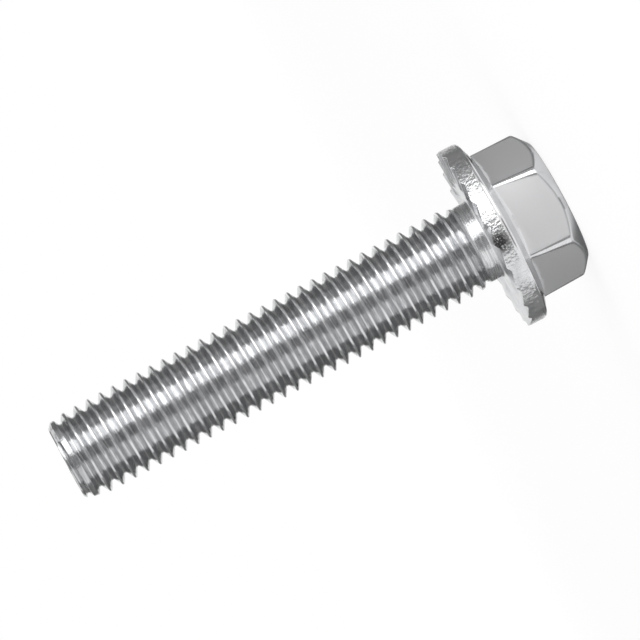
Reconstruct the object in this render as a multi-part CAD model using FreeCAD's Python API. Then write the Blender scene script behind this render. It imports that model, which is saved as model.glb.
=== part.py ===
import FreeCAD, Part
import math
import os
from FreeCAD import Vector

# A hexagon flange bolt, M10 x 50 with a coarse right-hand thread, a ratchet-serrated flange and
# a reduced neck. Sizes are in millimetres and degrees. The origin is on the axis in the plane of
# the tooth crests, which is the plane that the joint is clamped on. +Z runs along the shank to
# its tip, and the head is below the origin. Angles round the axis are measured from +X towards
# +Y, seen from the tip.

# Thread, wound from flat faces with this many sides to a turn
bolt_length = 50.27
thread_diameter = 9.85
thread_depth = 0.925
thread_pitch = 1.5
thread_crest_width = 0.19
thread_flank_angle = 30.0
thread_crest_height_on_x = 0.15
thread_sides = 18

# Tip: the lead where the thread falls from its full height, then a point whose side is this far
# inside the crests, with a chamfer that reaches further in at the end
lead_length = 1.05
point_inset = 0.345
point_length = 1.35
point_chamfer = 0.55
point_chamfer_depth = 0.58

# Plain neck under the head, whose side is this far inside the crests, the cone that fades the
# grooves out, and the run-out of the crests
neck_inset = 0.46
neck_length = 1.3
neck_foot = 0.3
groove_fade_length = 0.9
runout_start = 1.45
runout_length = 1.65

# Flange
flange_diameter = 20.9
rim_height = 2.15
rim_edge_radius = 0.35
flange_slope = 20.0

# Ratchet teeth under the flange, and the smooth recessed ring between them and the neck
tooth_count = 24
tooth_depth = 0.38
tooth_inner_diameter = 14.4
tooth_land_angle = 1.0
tooth_steep_angle = 3.0
tooth_crest_angle = 8.5

# Hexagon, with two of its flats square to Y, and a crown whose flat top ends inside the flats
head_height = 9.14
across_flats = 14.85
hex_corner_radius = 0.9
hex_foot_fillet = 0.3
crown_inset = 0.675
crown_angle = 39.0

# Radii and sizes that follow from those above
thread_radius = thread_diameter / 2
thread_root_radius = thread_radius - thread_depth
neck_radius = thread_radius - neck_inset
point_radius = thread_radius - point_inset
flange_radius = flange_diameter / 2
crown_radius = across_flats / 2 - crown_inset
tooth_inner_radius = tooth_inner_diameter / 2
tooth_angle = 360 / tooth_count
recess_depth = tooth_depth * tooth_inner_radius / flange_radius
hex_corner_distance = across_flats / 2 / math.cos(math.radians(30))
thread_turn = 360 / thread_sides
thread_rise = thread_pitch / thread_sides

# How far a cutting body reaches past what it cuts, and one solid into the next
overrun = 0.5

CENTRE = Vector(0, 0, 0)
AXIS = Vector(0, 0, 1)


def polar(radius, angle, z):
    """A point given by its distance from the axis, its angle round it and its height."""
    turn = math.radians(angle)
    return Vector(radius * math.cos(turn), radius * math.sin(turn), z)


def flange_top(radius):
    """The height of the flange's sloping upper side at a distance from the axis."""
    return -rim_height - (flange_radius - radius) * math.tan(math.radians(flange_slope))


def rounded_outline(corners):
    """A closed wire through (point, radius) corners, with a tangent arc at each rounded one."""
    edges = []
    joins = []
    for i, (point, radius) in enumerate(corners):
        if radius == 0:
            joins.append((point, point))
            continue
        back = (corners[i - 1][0] - point).normalize()
        ahead = (corners[(i + 1) % len(corners)][0] - point).normalize()
        half_angle = back.getAngle(ahead) / 2
        reach = radius / math.tan(half_angle)
        bulge = radius / math.sin(half_angle) - radius
        start = point + back * reach
        end = point + ahead * reach
        middle = point + (back + ahead).normalize() * bulge
        joins.append((start, end))
        edges.append(Part.Arc(start, middle, end).toShape())
    for (_, leave), (arrive, _) in zip(joins, joins[1:] + joins[:1]):
        edges.append(Part.LineSegment(leave, arrive).toShape())
    return Part.Wire(Part.__sortEdges__(edges))


def turned(profile):
    """A solid of revolution from (radius, height, rounding) corners, its seam in line with a flat."""
    corners = [(Vector(radius, 0, z), rounding) for radius, z, rounding in profile]
    solid = Part.Face(rounded_outline(corners)).revolve(CENTRE, AXIS, 360)
    solid.rotate(CENTRE, AXIS, 30)
    return solid


def flat_face(corners):
    """A flat face with these corners."""
    return Part.Face(Part.makePolygon(corners + corners[:1]))


def flange_and_neck():
    """The turned form of the head: the neck, the recess round it, and the flange up to its cone."""
    core_radius = thread_root_radius - overrun
    fade_slope = groove_fade_length / (neck_radius - thread_root_radius)
    core_end = neck_length + (neck_radius - core_radius) * fade_slope
    inside_hex = across_flats / 3
    return turned([
        (0, core_end, 0),
        (core_radius, core_end, 0),
        (neck_radius, neck_length, 0),
        (neck_radius, neck_foot - recess_depth, 0),
        (neck_radius + neck_foot, -recess_depth, 0),
        (tooth_inner_radius, -recess_depth, 0),
        (tooth_inner_radius, 0, 0),
        (flange_radius, 0, 0),
        (flange_radius, -rim_height, rim_edge_radius),
        (inside_hex, flange_top(inside_hex), 0),
        (0, flange_top(inside_hex), 0),
    ])


def tooth_gap(crest_angle):
    """The space after one tooth crest: a long gentle side, then a steep side up to the next crest.

    Its edges all run to the origin, so the gap narrows and grows shallower towards the neck.
    """
    first = polar(1, crest_angle + tooth_land_angle / 2, 0)
    last = polar(1, crest_angle + tooth_angle - tooth_land_angle / 2, 0)
    root = polar(1, crest_angle + tooth_angle - tooth_land_angle / 2 - tooth_steep_angle, 0)
    root.z = -tooth_depth / flange_radius
    above = 1.5
    section = [root, root + (last - root) * above, root + (first - root) * above]
    inner = [corner * (tooth_inner_radius - overrun) for corner in section]
    outer = [corner * (flange_radius + overrun) for corner in section]
    faces = [flat_face(inner), flat_face(outer)]
    for i in range(3):
        faces.append(flat_face([inner[i - 1], inner[i], outer[i], outer[i - 1]]))
    return Part.makeSolid(Part.makeShell(faces))


def hexagon():
    """The wrench hexagon, with a conical crown that ends each flat in an arc."""
    corners = []
    for i in range(6):
        corners.append((polar(hex_corner_distance, 60 * i, -head_height), hex_corner_radius))
    foot = -rim_height / 2
    prism = Part.Face(rounded_outline(corners)).extrude(AXIS * (head_height + foot))
    outer_radius = hex_corner_distance + overrun
    crown_fall = (outer_radius - crown_radius) * math.tan(math.radians(crown_angle))
    crown = turned([
        (0, 0, 0),
        (outer_radius, 0, 0),
        (outer_radius, crown_fall - head_height, 0),
        (crown_radius, -head_height, 0),
        (0, -head_height, 0),
    ])
    return prism.common(crown)


def is_foot_edge(edge):
    """True for the curves in which the hexagon's sides meet the flange's slope."""
    if edge.Curve.TypeId == "Part::GeomLine":
        return False
    middle = edge.valueAt((edge.FirstParameter + edge.LastParameter) / 2)
    radius = math.hypot(middle.x, middle.y)
    return radius <= hex_corner_distance and abs(middle.z - flange_top(radius)) < 0.001


def head():
    """Flange, teeth, neck and hexagon, with a fillet at the hexagon's foot."""
    gaps = [tooth_gap(tooth_crest_angle + tooth_angle * i) for i in range(tooth_count)]
    joined = flange_and_neck().cut(gaps).fuse(hexagon())
    foot = [edge for edge in joined.Edges if is_foot_edge(edge)]
    return joined.makeFillet(hex_foot_fillet, foot)


def thread_section():
    """The thread's section over one pitch, from the middle of a crest: (radius, height) corners."""
    half_crest = thread_crest_width / 2
    flank = (thread_radius - thread_root_radius) * math.tan(math.radians(thread_flank_angle))
    return [
        (thread_radius, -half_crest),
        (thread_radius, half_crest),
        (thread_root_radius, half_crest + flank),
        (thread_root_radius, thread_pitch - half_crest - flank),
        (thread_radius, thread_pitch - half_crest),
    ]


def one_side(lower, upper):
    """The flat faces between two (radius, height) lines over one side of the thread's turn."""
    a, d = (polar(radius, 0, z) for radius, z in (lower, upper))
    b, c = (polar(radius, thread_turn, z + thread_rise) for radius, z in (lower, upper))
    if lower[0] == upper[0]:
        return [flat_face([a, b, c, d])]
    return [flat_face([a, b, c]), flat_face([a, c, d])]


def wound(faces, first, count):
    """Copies of some faces, each one side further up the screw."""
    copies = []
    for i in range(first, first + count):
        for face in faces:
            copy = face.copy()
            copy.rotate(CENTRE, AXIS, thread_turn * i)
            copy.translate(AXIS * (thread_rise * i))
            copies.append(copy)
    return copies


def screw(bottom, top):
    """A threaded body, whole between two heights and closed by a ramp and a step at each end."""
    turns_below = math.ceil((thread_crest_height_on_x - bottom) / thread_pitch) + 1
    start = thread_crest_height_on_x - thread_pitch * turns_below
    turns = math.ceil((top - start) / thread_pitch) + 1
    section = [(radius, start + height) for radius, height in thread_section()]
    faces = []
    for lower, upper in zip(section, section[1:]):
        faces += wound(one_side(lower, upper), 0, thread_sides * turns)
    low = Vector(0, 0, section[0][1])
    first = polar(thread_radius, 0, low.z)
    last = polar(thread_radius, thread_turn, low.z + thread_rise)
    ramp = [flat_face([low, first, last]), flat_face([low, last, low + AXIS * thread_rise])]
    faces += wound(ramp, 0, thread_sides) + wound(ramp, thread_sides * turns, thread_sides)
    step = flat_face([low] + [Vector(radius, 0, z) for radius, z in section] + [low + AXIS * thread_pitch])
    faces += [step, step.translated(AXIS * (thread_pitch * turns))]
    shell = Part.makeShell(faces)
    shell.sewShape()
    return Part.makeSolid(shell)


def threaded_shank():
    """The screw inside its outline: run-out towards the neck, lead and chamfered point at the tip."""
    outer_radius = thread_radius + overrun
    runout_slope = runout_length / neck_inset
    point_start = bolt_length - point_length
    lead_slope = lead_length / point_inset
    bottom = runout_start / 2
    outline = turned([
        (0, bottom, 0),
        (neck_radius - (runout_start - bottom) / runout_slope, bottom, 0),
        (outer_radius, runout_start + (outer_radius - neck_radius) * runout_slope, 0),
        (outer_radius, point_start - (outer_radius - point_radius) * lead_slope, 0),
        (point_radius, point_start, 0),
        (point_radius, bolt_length - point_chamfer, 0),
        (point_radius - point_chamfer_depth, bolt_length, 0),
        (0, bolt_length, 0),
    ])
    return screw(bottom, bolt_length).common(outline)


def flange_bolt():
    return head().fuse(threaded_shank())


if __name__ == "__main__":
    os.makedirs("parts", exist_ok=True)
    flange_bolt().exportStep("parts/flange_bolt.step")
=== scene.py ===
"""A hexagon flange bolt in bright zinc-plated steel, standing on its head in a plain pale studio."""

import math

import bpy
from bpy.props import FloatProperty, FloatVectorProperty, IntProperty, PointerProperty
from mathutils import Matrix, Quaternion, Vector


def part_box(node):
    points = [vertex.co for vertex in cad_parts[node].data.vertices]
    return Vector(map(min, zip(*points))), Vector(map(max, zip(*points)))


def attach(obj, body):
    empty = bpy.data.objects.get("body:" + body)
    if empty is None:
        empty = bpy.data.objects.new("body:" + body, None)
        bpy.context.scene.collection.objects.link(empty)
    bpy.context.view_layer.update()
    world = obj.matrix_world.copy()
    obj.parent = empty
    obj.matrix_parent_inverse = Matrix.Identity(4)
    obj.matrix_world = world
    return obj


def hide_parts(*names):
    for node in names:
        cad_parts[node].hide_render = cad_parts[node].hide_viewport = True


bl_info = {
    "name": "Flange bolt",
    "version": (1, 0, 0),
    "blender": (4, 5, 0),
    "location": "View3D > Sidebar > Flange bolt",
    "description": "Models a hexagon flange bolt with a serrated flange, and its studio",
    "category": "Object",
}

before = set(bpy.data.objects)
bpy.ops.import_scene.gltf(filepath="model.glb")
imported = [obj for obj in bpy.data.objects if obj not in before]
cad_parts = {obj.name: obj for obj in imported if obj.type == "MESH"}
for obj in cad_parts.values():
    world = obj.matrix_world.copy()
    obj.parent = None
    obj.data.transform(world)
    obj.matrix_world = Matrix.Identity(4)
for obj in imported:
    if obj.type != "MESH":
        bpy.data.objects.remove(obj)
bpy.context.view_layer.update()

NODE = "flange_bolt"
BOX_LOW, BOX_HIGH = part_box(NODE)

# How close two points are before they count as one
NEAR = 1e-7

# How far a trimming body reaches past what it trims
OVERRUN = 0.0005

# Half of the turn from one corner of a hexagon to the next
HALF_SIDE = math.radians(30)

# Materials are worked out in millimetres
MM = 1000

# Faces round a full turn: of the head, where each tooth takes 15, and of the thread
HEAD_STEPS = 360
THREAD_STEPS = 72

# Cuts that divide the hexagon's sides in height, so that their twist is smooth. More of them would
# pass close to the seams at the flange and the crown, and leave marks in the shading there
HEXAGON_CUTS = 2


def length(name, description, default):
    """A length property in metres."""
    return FloatProperty(
        name=name,
        description=description,
        default=default,
        min=0.0,
        unit="LENGTH",
        subtype="DISTANCE",
        precision=5,
    )


def angle(name, description, degrees):
    """An angle property, given in degrees."""
    return FloatProperty(
        name=name, description=description, default=math.radians(degrees), unit="ROTATION", subtype="ANGLE"
    )


def share(name, description, default):
    """A number between 0 and 1."""
    return FloatProperty(
        name=name, description=description, default=default, min=0.0, max=1.0, subtype="FACTOR"
    )


def brightness(name, description, default):
    """The strength of a glowing panel, where 1 is white."""
    return FloatProperty(name=name, description=description, default=default, min=0.0)


def point_at(name, description, default):
    """A point in metres."""
    return FloatVectorProperty(name=name, description=description, default=default, unit="LENGTH")


def colour(name, description, default):
    """A colour property."""
    return FloatVectorProperty(
        name=name, description=description, default=default, min=0.0, max=1.0, size=3, subtype="COLOR"
    )


class BoltSizes(bpy.types.PropertyGroup):
    """Sizes of the bolt. Heights are measured from the plane of the tooth crests."""

    bolt_length: length("Length", "From the tooth crests to the tip", BOX_HIGH.z)
    head_height: length("Head height", "From the tooth crests to the top of the head", -BOX_LOW.z)
    flange_diameter: length("Flange diameter", "Across the flange", BOX_HIGH.x - BOX_LOW.x)
    rim_height: length("Rim height", "From the tooth crests to the flange's slope", 0.00215)
    flange_slope: angle("Flange slope", "Slope of the flange's upper side", 20)
    rim_edge_radius: length("Rim edge radius", "Rounding of the rim's upper edge", 0.00035)
    seat_edge_radius: length("Seat edge radius", "Rounding of the rim's toothed edge", 0.00008)
    tooth_count: IntProperty(name="Teeth", description="Number of teeth under the flange", default=24, min=3)
    tooth_depth: length("Tooth depth", "At the rim", 0.00038)
    tooth_inner_diameter: length("Tooth inner diameter", "Where the teeth end in the smooth ring", 0.0144)
    tooth_inner_slope: length("Tooth inner slope", "Over which the worn teeth fall to the ring", 0.0006)
    tooth_crest_angle: angle("Tooth crest angle", "From +X to the first crest", 8.5)
    tooth_land_angle: angle("Tooth land", "Width of a tooth's flat crest", 1)
    tooth_steep_angle: angle("Tooth steep side", "Width of a tooth's steep side", 3)
    across_flats: length("Across flats", "Across the hexagon", 0.01485)
    hex_corner_radius: length("Corner radius", "Rounding of the hexagon's corners at the crown", 0.00105)
    hex_foot_corner_radius: length("Foot corner radius", "Rounding of the corners at the flange", 0.00035)
    hex_twist: angle("Twist", "Turn of the hexagon from the crown to the flange", 6.5)
    hex_foot_fillet: length("Foot fillet", "Where the hexagon meets the flange", 0.0003)
    crown_diameter: length("Crown diameter", "Across the flat top of the head", 0.0135)
    crown_angle: angle("Crown angle", "Slope of the crown", 39)
    crown_edge_radius: length("Crown edge radius", "Rounding of the crown's upper edge", 0.0005)
    crown_seam_width: length("Crown seam width", "Softening where the flats meet the crown", 0.0002)
    thread_diameter: length("Thread diameter", "Over the crests", 0.00985)
    thread_pitch: length("Thread pitch", "From crest to crest", 0.0015)
    thread_root_radius: length("Root rounding", "Rounding at the bottom of the thread", 0.00017)
    thread_crest_radius: length("Crest rounding", "Rounding of the crest's two edges", 0.00006)
    thread_crest_width: length("Crest width", "Width of the crest before its edges are rounded", 0.00019)
    thread_crest_height_on_x: length("Crest height on +X", "Height of one crest on the +X side", 0.00015)
    lead_length: length("Lead length", "Where the thread falls from its full height near the tip", 0.00105)
    point_diameter: length("Point diameter", "Across the narrower point", 0.00916)
    point_length: length("Point length", "Of the narrower point with its chamfer", 0.00135)
    point_chamfer: length("Point chamfer", "Length of the chamfer at the tip", 0.00055)
    end_diameter: length("End diameter", "Across the flat end of the tip", 0.008)
    neck_diameter: length("Neck diameter", "Plain neck under the head", 0.00893)
    neck_length: length("Neck length", "From the tooth crests to the end of the neck", 0.0013)


class BoltFinish(bpy.types.PropertyGroup):
    """Colours and gloss of the zinc plating, with painted shade on the thread's flanks."""

    zinc: colour("Zinc", "Colour of the plating", (0.76, 0.765, 0.775))
    zinc_dull: colour("Dull zinc", "Colour where the plating is dull", (0.62, 0.625, 0.635))
    zinc_satin: colour("Satin zinc", "Colour of the hexagon's flats", (0.9, 0.9, 0.91))
    # Painted shade: a darker colour on the thread's flanks stands in for the darker reflections they show.
    # The plating there is the same as on the crests.
    zinc_flank: colour("Thread sides", "Colour of the plating on the thread's flanks", (0.58, 0.585, 0.595))
    zinc_streak: colour("Streaks", "Colour of the streaks that rolling leaves", (0.4, 0.405, 0.41))
    stain: colour("Stain", "Colour of the dark stain on the rim", (0.07, 0.07, 0.07))
    roughness: share("Roughness", "Of the rolled and turned surfaces", 0.16)
    forged_roughness: share("Forged roughness", "Of the crown and the toothed side", 0.32)
    satin_roughness: share("Satin roughness", "Of the hexagon's flats", 0.5)


class StudioSettings(bpy.types.PropertyGroup):
    """The camera's place and the levels of the studio's panels."""

    camera_place: point_at("Camera place", "Where the camera stands", (-0.00007, -0.5936, 0.0475))
    camera_aim: point_at("Camera aim", "Point on the bolt that it looks at", (0.000635, 0.0, 0.01934))
    camera_lens: FloatProperty(
        name="Lens", description="Focal length in millimetres", default=314.6, min=1.0
    )
    camera_roll: angle("Camera roll", "Turn about the line of sight", -118.18)
    panel_distance: length("Panel distance", "From the bolt to the studio's panels", 0.36)
    key_level: brightness("Key level", "Brightness of the main panel", 2.6)
    fill_level: brightness("Fill level", "Brightness of the second panel", 1.0)


def sizes():
    return bpy.context.scene.bolt_sizes


def finish():
    return bpy.context.scene.bolt_finish


def studio():
    return bpy.context.scene.bolt_studio


# Modelling steps that several pieces share


def deselect_all():
    if bpy.context.mode != "OBJECT":
        bpy.ops.object.mode_set(mode="OBJECT")
    bpy.ops.object.select_all(action="DESELECT")


def make_active(thing):
    deselect_all()
    thing.select_set(True)
    bpy.context.view_layer.objects.active = thing


def named(name):
    """Names the active object and its mesh."""
    thing = bpy.context.active_object
    thing.name = name
    thing.data.name = name
    return thing


def select_edges(thing, wanted):
    """Selects the edges, in edit mode, whose two end points satisfy wanted."""
    bpy.ops.mesh.select_mode(type="EDGE")
    bpy.ops.mesh.select_all(action="DESELECT")
    bpy.ops.object.mode_set(mode="OBJECT")
    points = thing.data.vertices
    for edge in thing.data.edges:
        first, second = (points[i].co for i in edge.vertices)
        edge.select = wanted(first, second)
    bpy.ops.object.mode_set(mode="EDIT")


def line_through(name, points):
    """A line of straight runs through the points, drawn by extruding one vertex. Ends in edit mode."""
    deselect_all()
    bpy.ops.mesh.primitive_plane_add(size=0.001, location=(0, 0, 0))
    thing = named(name)
    bpy.ops.object.mode_set(mode="EDIT")
    bpy.ops.mesh.select_mode(type="VERT")
    bpy.ops.mesh.select_all(action="SELECT")
    bpy.ops.mesh.merge(type="CENTER")
    bpy.ops.transform.translate(value=points[0])
    for before, after in zip(points, points[1:]):
        bpy.ops.mesh.extrude_region_move(TRANSFORM_OT_translate={"value": after - before})
    return thing


def rounded(corners, steps=6):
    """Points along an open line of (x, z, radius) corners, with an arc at each rounded one."""
    places = [Vector((x, 0, z)) for x, z, _ in corners]
    points = [places[0]]
    for i in range(1, len(corners) - 1):
        radius = corners[i][2]
        if radius == 0:
            points.append(places[i])
            continue
        back = (places[i - 1] - places[i]).normalized()
        ahead = (places[i + 1] - places[i]).normalized()
        half = back.angle(ahead) / 2
        centre = places[i] + (back + ahead).normalized() * (radius / math.sin(half))
        start = (places[i] + back * (radius / math.tan(half)) - centre).normalized()
        end = (places[i] + ahead * (radius / math.tan(half)) - centre).normalized()
        for k in range(steps + 1):
            points.append(centre + start.slerp(end, k / steps) * radius)
    points.append(places[-1])
    return points


def turn_profile(name, points, steps, rise=0.0, turns=1):
    """Turns a line round the Z axis into a surface, as a screw if it rises at each turn."""
    thing = line_through(name, points)
    bpy.ops.object.mode_set(mode="OBJECT")
    screw = thing.modifiers.new("turn", "SCREW")
    screw.axis = "Z"
    screw.angle = 2 * math.pi
    screw.steps = steps
    screw.render_steps = steps
    screw.screw_offset = rise
    screw.iterations = turns
    screw.use_merge_vertices = rise == 0
    screw.merge_threshold = NEAR
    make_active(thing)
    bpy.ops.object.modifier_apply(modifier=screw.name)
    bpy.ops.object.mode_set(mode="EDIT")
    bpy.ops.mesh.select_all(action="SELECT")
    bpy.ops.mesh.remove_doubles(threshold=NEAR)
    bpy.ops.mesh.normals_make_consistent(inside=False)
    bpy.ops.object.mode_set(mode="OBJECT")
    return thing


def combine(thing, other, operation):
    """Joins, cuts or intersects a closed body with another, which is then removed."""
    step = thing.modifiers.new("combine", "BOOLEAN")
    step.operation = operation
    step.solver = "MANIFOLD"
    step.object = other
    make_active(thing)
    bpy.context.view_layer.update()
    bpy.ops.object.modifier_apply(modifier=step.name)
    deselect_all()
    other.select_set(True)
    bpy.ops.object.delete()
    if not thing.data.polygons:
        raise RuntimeError(f"{thing.name} has no faces left after it was combined")
    return thing


def radius_of(point):
    return math.hypot(point.x, point.y)


# The thread: one section of it swept along a screw line, then trimmed to the shank's outline


def thread_section():
    """The thread's section over one pitch, from the middle of one root to the next, on the +X side."""
    s = sizes()
    outer = s.thread_diameter / 2
    half_pitch = s.thread_pitch / 2
    half_crest = s.thread_crest_width / 2
    flank = math.tan(math.radians(30))
    sharp_root = outer - (half_pitch - half_crest) / flank
    middle = s.thread_crest_height_on_x - s.thread_pitch
    corners = [
        (sharp_root, middle - half_pitch, 0),
        (outer, middle - half_crest, s.thread_crest_radius),
        (outer, middle + half_crest, s.thread_crest_radius),
        (sharp_root, middle + half_pitch, 0),
    ]
    points = rounded(corners, 3)[1:-1]
    root = s.thread_root_radius
    arc = []
    for k in range(4):
        turn = math.radians(60) * k / 3
        arc.append((sharp_root + 2 * root - root * math.cos(turn), root * math.sin(turn)))
    start = [Vector((x, 0, middle - half_pitch + z)) for x, z in arc]
    end = [Vector((x, 0, middle + half_pitch - z)) for x, z in reversed(arc)]
    return start + points + end


def close_end(rod, wanted):
    """Closes one open end of the thread, in edit mode, with triangles that meet near the axis."""
    bpy.ops.mesh.select_mode(type="EDGE")
    bpy.ops.mesh.select_all(action="DESELECT")
    bpy.ops.mesh.select_non_manifold(extend=False, use_wire=False, use_boundary=True)
    bpy.ops.object.mode_set(mode="OBJECT")
    for edge in rod.data.edges:
        ends = [rod.data.vertices[i].co for i in edge.vertices]
        edge.select = edge.select and all(wanted(end) for end in ends)
    bpy.ops.object.mode_set(mode="EDIT")
    bpy.ops.mesh.extrude_edges_move(TRANSFORM_OT_translate={"value": (0, 0, 0)})
    bpy.ops.mesh.merge(type="CENTER")


def thread_outline():
    """The outline that the thread is trimmed to: it fades out at the neck and at the tip."""
    s = sizes()
    neck = s.neck_diameter / 2
    crest = s.thread_diameter / 2
    outer = crest + s.thread_pitch
    inset = 0.0001
    inside_neck = s.neck_length - 0.0003
    out_of_neck = s.neck_length + 0.00035
    full_crests = s.neck_length + 0.0021
    past_runout = s.neck_length + 0.0045
    tip = s.bolt_length
    point = s.point_diameter / 2
    lead_end = tip - s.point_length
    lead_radius = 0.0008
    chamfer_radius = 0.0003
    end_radius = 0.0002
    corners = [
        (0, inside_neck, 0),
        (neck - inset, inside_neck, 0),
        (neck - inset, s.neck_length + inset, 0),
        (neck + inset / 2, out_of_neck, 0),
        (crest + inset, full_crests, 0),
        (outer, past_runout, 0),
        (outer, lead_end - s.lead_length * (outer - point) / (crest - point), 0),
        (point, lead_end, lead_radius),
        (point, tip - s.point_chamfer, chamfer_radius),
        (s.end_diameter / 2, tip, end_radius),
        (0, tip, 0),
    ]
    return turn_profile("thread_outline", rounded(corners, 4), THREAD_STEPS)


def thread():
    """The threaded part of the shank as a closed body."""
    s = sizes()
    turns = math.ceil(s.bolt_length / s.thread_pitch) + 2
    section = thread_section()
    rod = turn_profile("thread", section, THREAD_STEPS, s.thread_pitch, turns)
    middle = section[0].z + turns * s.thread_pitch / 2
    make_active(rod)
    bpy.ops.object.mode_set(mode="EDIT")
    close_end(rod, lambda point: point.z < middle)
    close_end(rod, lambda point: point.z > middle)
    bpy.ops.mesh.select_all(action="SELECT")
    bpy.ops.mesh.normals_make_consistent(inside=False)
    bpy.ops.object.mode_set(mode="OBJECT")
    return combine(rod, thread_outline(), "INTERSECT")


# The head: a turned flange with its teeth, and the hexagon on it


def flange_top(radius):
    """The height of the flange's sloping upper side at a distance from the axis."""
    s = sizes()
    return -s.rim_height - (s.flange_diameter / 2 - radius) * math.tan(s.flange_slope)


def tooth_drop(degrees):
    """How deep the toothed side is at an angle past a crest, as a share of the full depth."""
    s = sizes()
    step = 360 / s.tooth_count
    land = math.degrees(s.tooth_land_angle) / 2
    steep = math.degrees(s.tooth_steep_angle)
    past_crest = degrees % step
    if past_crest <= land or past_crest >= step - land:
        return 0.0
    if past_crest <= step - land - steep:
        return (past_crest - land) / (step - 2 * land - steep)
    return (step - land - past_crest) / steep


def worn_drop(degrees):
    """The same with its crests and roots a little rounded."""
    return tooth_drop(degrees) * 0.5 + (tooth_drop(degrees - 0.5) + tooth_drop(degrees + 0.5)) * 0.25


def turned_flange():
    """The flange with its neck, before its teeth are pressed."""
    s = sizes()
    outer = s.flange_diameter / 2
    inner = s.tooth_inner_diameter / 2
    neck = s.neck_diameter / 2
    core = s.thread_diameter / 2 - 0.0013
    core_end = s.neck_length + 0.0011
    neck_end_radius = 0.0003
    neck_foot_radius = 0.0004
    recess = s.tooth_depth * inner / outer
    inner_crest = -0.00002
    inside_hex = s.across_flats / 3
    corners = [
        (0, core_end, 0),
        (core, core_end, 0),
        (neck, s.neck_length, neck_end_radius),
        (neck, -recess, neck_foot_radius),
        (inner - s.tooth_inner_slope, -recess, 0),
        (inner, inner_crest, 0),
        (outer, 0, s.seat_edge_radius),
        (outer, -s.rim_height, s.rim_edge_radius),
        (inside_hex, flange_top(inside_hex), 0),
        (0, flange_top(inside_hex), 0),
    ]
    return turn_profile("flange", rounded(corners, 5), HEAD_STEPS)


def flange():
    """The turned flange, whose underside is pressed into ratchet teeth."""
    s = sizes()
    thing = turned_flange()
    inside_teeth = s.tooth_inner_diameter / 2 - 0.00005
    under_rim = -2 * s.seat_edge_radius
    rings = {}
    for point in thing.data.vertices:
        radius = radius_of(point.co)
        if point.co.z > under_rim and radius > inside_teeth:
            degrees = math.degrees(math.atan2(point.co.y, point.co.x) - s.tooth_crest_angle)
            depth_share = worn_drop(round(degrees * 2) / 2) * radius / (s.flange_diameter / 2)
            rings.setdefault(round(s.tooth_depth * depth_share, 8), []).append(point.index)
    make_active(thing)
    for drop, members in rings.items():
        bpy.ops.object.mode_set(mode="EDIT")
        bpy.ops.mesh.select_mode(type="VERT")
        bpy.ops.mesh.select_all(action="DESELECT")
        bpy.ops.object.mode_set(mode="OBJECT")
        for index in members:
            thing.data.vertices[index].select = True
        bpy.ops.object.mode_set(mode="EDIT")
        bpy.ops.transform.translate(value=(0, 0, -drop))
    bpy.ops.object.mode_set(mode="OBJECT")
    return thing


def crown_height(radius):
    """The height of the crown's cone at a distance from the axis."""
    s = sizes()
    return -s.head_height + (radius - s.crown_diameter / 2) * math.tan(s.crown_angle)


def corner_distance():
    """From the axis to the hexagon's corners, before they are rounded."""
    return sizes().across_flats / 2 / math.cos(HALF_SIDE)


def rounded_hexagon(height, turn, radius):
    """Adds a level hexagon with rounded corners: a new object, or more of the mesh in edit mode."""
    bpy.ops.mesh.primitive_circle_add(
        vertices=6,
        radius=corner_distance(),
        fill_type="NGON",
        location=(0, 0, height),
        rotation=(0, 0, HALF_SIDE + turn),
    )
    if bpy.context.mode == "OBJECT":
        named("hexagon")
        bpy.ops.object.transform_apply(location=True, rotation=True, scale=True)
        bpy.ops.object.mode_set(mode="EDIT")
        bpy.ops.mesh.select_all(action="SELECT")
    tangent = radius * math.tan(HALF_SIDE)
    bpy.ops.mesh.bevel(offset=tangent, segments=6, profile=0.5, affect="VERTICES")


def hexagon():
    """The wrench hexagon: twisted a little, its corners rounder towards the crown, which is a cone."""
    s = sizes()
    inside_rim = -s.rim_height * 0.7
    foot_turn = s.hex_twist * 0.42
    deselect_all()
    rounded_hexagon(inside_rim, foot_turn, s.hex_foot_corner_radius)
    rounded_hexagon(-s.head_height - OVERRUN, foot_turn - s.hex_twist, s.hex_corner_radius)
    bpy.ops.mesh.select_all(action="SELECT")
    bpy.ops.mesh.bridge_edge_loops(number_cuts=HEXAGON_CUTS, interpolation="LINEAR")
    bpy.ops.mesh.select_all(action="SELECT")
    bpy.ops.mesh.fill_holes(sides=0)
    bpy.ops.mesh.select_all(action="SELECT")
    bpy.ops.mesh.normals_make_consistent(inside=False)
    bpy.ops.object.mode_set(mode="OBJECT")
    thing = bpy.context.active_object
    outer = corner_distance() + OVERRUN
    crown = turn_profile("crown", rounded([
        (0, 0, 0),
        (outer, 0, 0),
        (outer, crown_height(outer), 0),
        (s.crown_diameter / 2, -s.head_height, s.crown_edge_radius),
        (0, -s.head_height, 0),
    ], 5), HEAD_STEPS)
    combine(thing, crown, "INTERSECT")
    return thing


def soften_seam(thing, height, offset):
    """Rounds the seam between the hexagon's sides and a turned surface whose height is given for a radius."""
    inner = sizes().across_flats / 2 - 0.00003
    outer = corner_distance()
    on_surface = 0.00001

    def on_seam(point):
        radius = radius_of(point)
        return inner < radius < outer and abs(point.z - height(radius)) < on_surface

    make_active(thing)
    bpy.ops.object.mode_set(mode="EDIT")
    select_edges(thing, lambda a, b: on_seam(a) and on_seam(b))
    bpy.ops.mesh.bevel(offset=offset, segments=4, profile=0.5)
    bpy.ops.object.mode_set(mode="OBJECT")


# Materials: shader maths written as plain expressions


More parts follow.
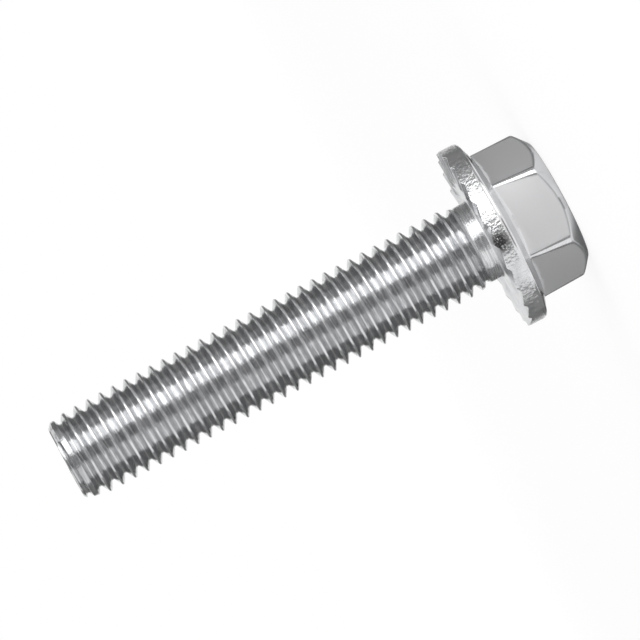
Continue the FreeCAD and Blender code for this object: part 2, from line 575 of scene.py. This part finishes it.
class Level:
    """A value that a shader works out at each point of a surface, with the usual arithmetic."""

    def __init__(self, paint, socket):
        self.paint = paint
        self.socket = socket

    def output(self, name):
        """Another output of the same node."""
        return Level(self.paint, self.socket.node.outputs[name])

    def __add__(self, other):
        return self.paint.node("ShaderNodeMath", {"operation": "ADD"}, {0: self, 1: other})

    def __radd__(self, other):
        return self + other

    def __sub__(self, other):
        return self.paint.node("ShaderNodeMath", {"operation": "SUBTRACT"}, {0: self, 1: other})

    def __rsub__(self, other):
        return self.paint.node("ShaderNodeMath", {"operation": "SUBTRACT"}, {0: other, 1: self})

    def __mul__(self, other):
        return self.paint.node("ShaderNodeMath", {"operation": "MULTIPLY"}, {0: self, 1: other})

    def __rmul__(self, other):
        return self * other

    def __pow__(self, other):
        return self.paint.node("ShaderNodeMath", {"operation": "POWER"}, {0: self, 1: other})


class Paint:
    """The nodes of one material or of the world."""

    def __init__(self, owner):
        owner.use_nodes = True
        self.tree = owner.node_tree
        self.tree.nodes.clear()

    def node(self, kind, settings=None, inputs=None, output=0):
        """A node with its settings, then the values or links of its sockets."""
        made = self.tree.nodes.new(kind)
        for name, value in (settings or {}).items():
            setattr(made, name, value)
        for name, value in (inputs or {}).items():
            if isinstance(value, Level):
                self.tree.links.new(value.socket, made.inputs[name])
            else:
                made.inputs[name].default_value = value
        return Level(self, made.outputs[output]) if made.outputs else None

    def ramp(self, value, start, end):
        """Rises smoothly from 0 to 1 as the value goes from start to end."""
        return self.node(
            "ShaderNodeMapRange",
            {"interpolation_type": "SMOOTHSTEP"},
            {"Value": value, "From Min": start, "From Max": end, "To Min": 0.0, "To Max": 1.0},
        )

    def noise(self, coordinates, scale, detail=2.0):
        return self.node(
            "ShaderNodeTexNoise",
            {"noise_dimensions": "3D"},
            {"Vector": coordinates, "Scale": scale, "Detail": detail, "Roughness": 0.5},
        )

    def blend(self, factor, first, second):
        """A colour between two others."""
        return self.node("ShaderNodeMix", {"data_type": "RGBA"}, {0: factor, 6: first, 7: second}, output=2)


def with_alpha(rgb):
    return (*rgb, 1.0)


# Middle of the dark stain on the rim, in millimetres
STAIN = (-1.1, -10.4, -0.5)


def plating_regions(paint, in_mm):
    """How far each point lies in each region of the bolt, from 0 to 1, by its place in millimetres."""
    s = sizes()
    split = paint.node("ShaderNodeSeparateXYZ", inputs={0: in_mm})
    x = split
    y = split.output("Y")
    z = split.output("Z")
    radius = (x * x + y * y) ** 0.5
    rim = s.flange_diameter / 2 * MM
    neck = s.neck_diameter / 2 * MM
    crest = s.thread_diameter / 2 * MM
    neck_end = s.neck_length * MM
    outside_corners = 0.0088
    hex_foot = flange_top(outside_corners) * MM
    crown = s.crown_diameter / 2 * MM
    above_crown = z + s.head_height * MM - (radius - crown) * math.tan(s.crown_angle)
    on_head = 1 - paint.ramp(z, hex_foot - 0.2, hex_foot + 0.1)
    on_crown = on_head * (1 - paint.ramp(above_crown, 0.1, 0.3))
    corner_taper = 0.036
    on_flat = on_head * (1 - on_crown) * (1 - paint.ramp(radius - z * corner_taper, 8.48, 8.6))
    on_rim = paint.ramp(radius, rim - 0.3, rim - 0.1) * paint.ramp(z, -1.9, -1.65)
    on_thread = paint.ramp(z, neck_end - 0.2, neck_end + 0.2)
    by_neck = 1 - paint.ramp(radius, neck, neck + 0.3)
    on_neck = paint.ramp(z, -0.2, 0.1) * (1 - on_thread) * by_neck
    on_seat = paint.ramp(z, -0.6, -0.5) * (1 - on_thread) * (1 - on_neck) * (1 - on_rim)
    below_crest = 1 - paint.ramp(radius, crest - 0.3, crest - 0.06)
    above_root = paint.ramp(radius, crest - 0.86, crest - 0.7)
    return {
        "head": on_head,
        "crown": on_crown,
        "flat": on_flat,
        "rim": on_rim,
        "thread": on_thread,
        # Where the thread's flanks take their painted shade
        "flank": on_thread * below_crest * above_root,
        "neck": on_neck,
        "seat": on_seat,
    }


def zinc_plating():
    """Bright zinc plating: satin on the forged flats, glossy and finely pitted where rolled or turned."""
    f = finish()
    material = bpy.data.materials.new("zinc_plating")
    paint = Paint(material)
    in_metres = paint.node("ShaderNodeTexCoord", output="Object")
    in_mm = paint.node("ShaderNodeVectorMath", {"operation": "SCALE"}, {0: in_metres, "Scale": MM})
    on = plating_regions(paint, in_mm)
    pits = paint.noise(in_mm, 2.2, 3.0)
    craters = paint.noise(in_mm, 4.6, 3.0)
    grain = paint.noise(in_mm, 9.0)
    cloud = paint.noise(in_mm, 0.45)
    along = paint.node("ShaderNodeVectorMath", {"operation": "MULTIPLY"}, {0: in_mm, 1: (0.3, 0.3, 4.5)})
    rolled = paint.noise(along, 1.0, 3.0)
    height = (
        pits * (on["rim"] * 0.1 + on["thread"] * 0.012 + on["neck"] * 0.03 + 0.008)
        + craters * cloud * on["rim"] * 0.1
        + rolled * (on["thread"] * 0.09 + on["neck"] * 0.1)
        + grain * (on["rim"] * 0.006 + on["head"] * 0.0008 + on["thread"] * 0.002)
    )
    bump = paint.node("ShaderNodeBump", inputs={"Strength": 1.0, "Distance": 0.001, "Height": height})
    to_stain = paint.node(
        "ShaderNodeVectorMath", {"operation": "DISTANCE"}, {0: in_mm, 1: STAIN}, output="Value"
    )
    stain = (1 - paint.ramp(to_stain, 0.5, 1.7)) * paint.ramp(craters, 0.3, 0.5)
    dull = paint.ramp(cloud * 0.7 + grain * 0.3, 0.42, 0.66) + on["crown"] * 0.8
    streaks = (on["thread"] + on["neck"]) * paint.ramp(rolled, 0.46, 0.6)
    clean = paint.blend(dull, with_alpha(f.zinc), with_alpha(f.zinc_dull))
    clean = paint.blend(on["flat"], clean, with_alpha(f.zinc_satin))
    # Painted shade on the thread's flanks, in place of their darker reflections
    clean = paint.blend(on["flank"], clean, with_alpha(f.zinc_flank))
    clean = paint.blend(streaks * 0.5, clean, with_alpha(f.zinc_streak))
    colour_here = paint.blend(stain, clean, with_alpha(f.stain))
    gloss = (
        f.roughness
        + on["flat"] * (f.satin_roughness - f.roughness)
        + (on["crown"] + on["seat"]) * (f.forged_roughness - f.roughness)
        + (grain - 0.5) * 0.08
        + stain * 0.2
    )
    surface = paint.node(
        "ShaderNodeBsdfPrincipled",
        inputs={"Base Color": colour_here, "Metallic": 1.0, "Roughness": gloss, "Normal": bump},
        output="BSDF",
    )
    paint.node("ShaderNodeOutputMaterial", inputs={"Surface": surface})
    return material


def glow(name, level):
    """A plain material of an even brightness, or a dark one at a low level."""
    material = bpy.data.materials.new(name)
    paint = Paint(material)
    light = paint.node("ShaderNodeEmission", inputs={"Color": (1, 1, 1, 1), "Strength": level})
    paint.node("ShaderNodeOutputMaterial", inputs={"Surface": light})
    return material


def pale_floor():
    """White floor that keeps a part of the bolt's shadow."""
    material = bpy.data.materials.new("pale_floor")
    paint = Paint(material)
    path = paint.node("ShaderNodeLightPath", output="Is Camera Ray")
    matt = paint.node("ShaderNodeBsdfDiffuse", inputs={"Color": (0.9, 0.9, 0.9, 1)})
    bright = paint.node("ShaderNodeEmission", inputs={"Color": (1, 1, 1, 1), "Strength": 1.05})
    mixed = paint.node("ShaderNodeMixShader", inputs={0: path * 0.8, 1: matt, 2: bright})
    paint.node("ShaderNodeOutputMaterial", inputs={"Surface": mixed})
    return material


class BOLT_OT_make_bolt(bpy.types.Operator):
    """Models the bolt: toothed flange, hexagon, neck and thread, as one closed mesh"""

    bl_idname = "bolt.make_bolt"
    bl_label = "Make the bolt"

    def execute(self, context):
        s = sizes()
        body = hexagon()
        soften_seam(body, crown_height, s.crown_seam_width)
        body = combine(body, flange(), "UNION")
        # Half of the turn from the upright flats to the flange's slope
        half_turn = math.radians(35)
        soften_seam(body, flange_top, s.hex_foot_fillet * math.tan(half_turn))
        body = combine(body, thread(), "UNION")
        make_active(body)
        named("flange_bolt_dressed")
        bpy.ops.object.shade_smooth_by_angle(angle=math.radians(32))
        body.data.materials.clear()
        body.data.materials.append(zinc_plating())
        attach(body, "root")
        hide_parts(NODE)
        return {"FINISHED"}


# The studio: a pale floor, and tall panels round the bolt that only show in its plating

# From and to, in degrees round the bolt from the camera's side towards +X, then the lowest and highest
# point as a share of the panels' distance, and the brightness, or a name of a level
PANELS = (
    ("key", 19, 60, -0.8, 0.8, "key_level"),
    ("upper_grey", 60, 95, -0.8, 0.8, 0.45),
    ("upper_dark", 95, 155, -0.8, 0.8, 0.24),
    ("lower_dark", -158, -128, -0.8, 0.8, 0.2),
    ("lower_grey", -128, -84, -0.8, 0.8, 0.25),
    ("fill", -84, -27, -0.8, 0.8, "fill_level"),
    ("front_dark", -27, 12, -0.8, 0.8, 0.33),
    ("back_high", 150, 210, 1.0, 2.8, 0.15),
    ("back_dark", 158, 210, -0.53, -0.3, 0.03),
    ("back_grey", 163, 200, -0.9, -0.53, 0.42),
    ("back_low_grey", 158, 178, -2.1, -0.9, 0.35),
    ("back_low_dark", 178, 200, -2.1, -0.9, 0.03),
    ("back_corner", 198, 228, -2.1, -0.53, 0.04),
)


class BOLT_OT_make_studio(bpy.types.Operator):
    """Makes the floor, the panels, the world and the camera"""

    bl_idname = "bolt.make_studio"
    bl_label = "Make the studio"

    def execute(self, context):
        view = studio()
        deselect_all()
        bpy.ops.mesh.primitive_plane_add(size=3.0, location=(0, 0, -sizes().head_height))
        floor = named("floor")
        bpy.ops.object.transform_apply(location=True, rotation=True, scale=True)
        floor.data.materials.append(pale_floor())
        floor.visible_glossy = False
        for name, start, end, low, high, level in PANELS:
            if isinstance(level, str):
                level = getattr(view, level)
            self.make_panel(name, start, end, low, high, level)
        world = bpy.data.worlds.new("pale_world")
        context.scene.world = world
        paint = Paint(world)
        sky = paint.node("ShaderNodeBackground", inputs={"Color": (1, 1, 1, 1), "Strength": 1.0})
        paint.node("ShaderNodeOutputWorld", inputs={"Surface": sky})
        context.scene.view_settings.view_transform = "Standard"
        self.make_camera(context, view)
        return {"FINISHED"}

    def make_panel(self, name, start, end, low, high, level):
        """One upright panel, or several side by side where it's wide. The camera doesn't see it."""
        reach = studio().panel_distance
        overlap = 1.01
        count = math.ceil((end - start) / 30)
        turn = (end - start) / count
        for i in range(count):
            middle = math.radians(start + turn * (i + 0.5))
            deselect_all()
            bpy.ops.mesh.primitive_plane_add(
                size=1.0,
                location=(reach * math.sin(middle), -reach * math.cos(middle), reach * (low + high) / 2),
                rotation=(math.radians(90), 0, middle),
            )
            panel = named(f"panel_{name}_{i + 1}")
            width = 2 * reach * math.tan(math.radians(turn / 2)) * overlap
            panel.scale = (width, reach * (high - low), 1)
            bpy.ops.object.transform_apply(location=True, rotation=True, scale=True)
            panel.data.materials.append(glow(panel.name, level))
            panel.visible_camera = False

    def make_camera(self, context, view):
        """The camera, turned about its line of sight so that the bolt lies across the picture."""
        deselect_all()
        bpy.ops.object.camera_add(location=view.camera_place)
        camera = context.active_object
        camera.name = "camera"
        sight = Vector(view.camera_aim) - Vector(view.camera_place)
        camera.rotation_mode = "QUATERNION"
        camera.rotation_quaternion = sight.to_track_quat("-Z", "Y") @ Quaternion((0, 0, 1), view.camera_roll)
        camera.data.lens = view.camera_lens
        camera.data.sensor_width = 36.0
        camera.data.clip_start = 0.01
        camera.data.clip_end = 20.0
        context.scene.camera = camera


class BOLT_PT_panel(bpy.types.Panel):
    """Lists the bolt's sizes and finish, and the steps that make it"""

    bl_idname = "BOLT_PT_panel"
    bl_label = "Flange bolt"
    bl_space_type = "VIEW_3D"
    bl_region_type = "UI"
    bl_category = "Flange bolt"

    def draw(self, context):
        column = self.layout.column()
        for group, operator in (
            (sizes(), BOLT_OT_make_bolt), (finish(), None), (studio(), BOLT_OT_make_studio)
        ):
            for name in group.__annotations__:
                column.prop(group, name)
            if operator:
                column.operator(operator.bl_idname)


CLASSES = (BoltSizes, BoltFinish, StudioSettings, BOLT_OT_make_bolt, BOLT_OT_make_studio, BOLT_PT_panel)


def register():
    for each in CLASSES:
        bpy.utils.register_class(each)
    bpy.types.Scene.bolt_sizes = PointerProperty(type=BoltSizes)
    bpy.types.Scene.bolt_finish = PointerProperty(type=BoltFinish)
    bpy.types.Scene.bolt_studio = PointerProperty(type=StudioSettings)


def unregister():
    del bpy.types.Scene.bolt_studio
    del bpy.types.Scene.bolt_finish
    del bpy.types.Scene.bolt_sizes
    for each in reversed(CLASSES):
        bpy.utils.unregister_class(each)


def main():
    register()
    bpy.ops.bolt.make_bolt()
    bpy.ops.bolt.make_studio()


if __name__ == "__main__":
    main()
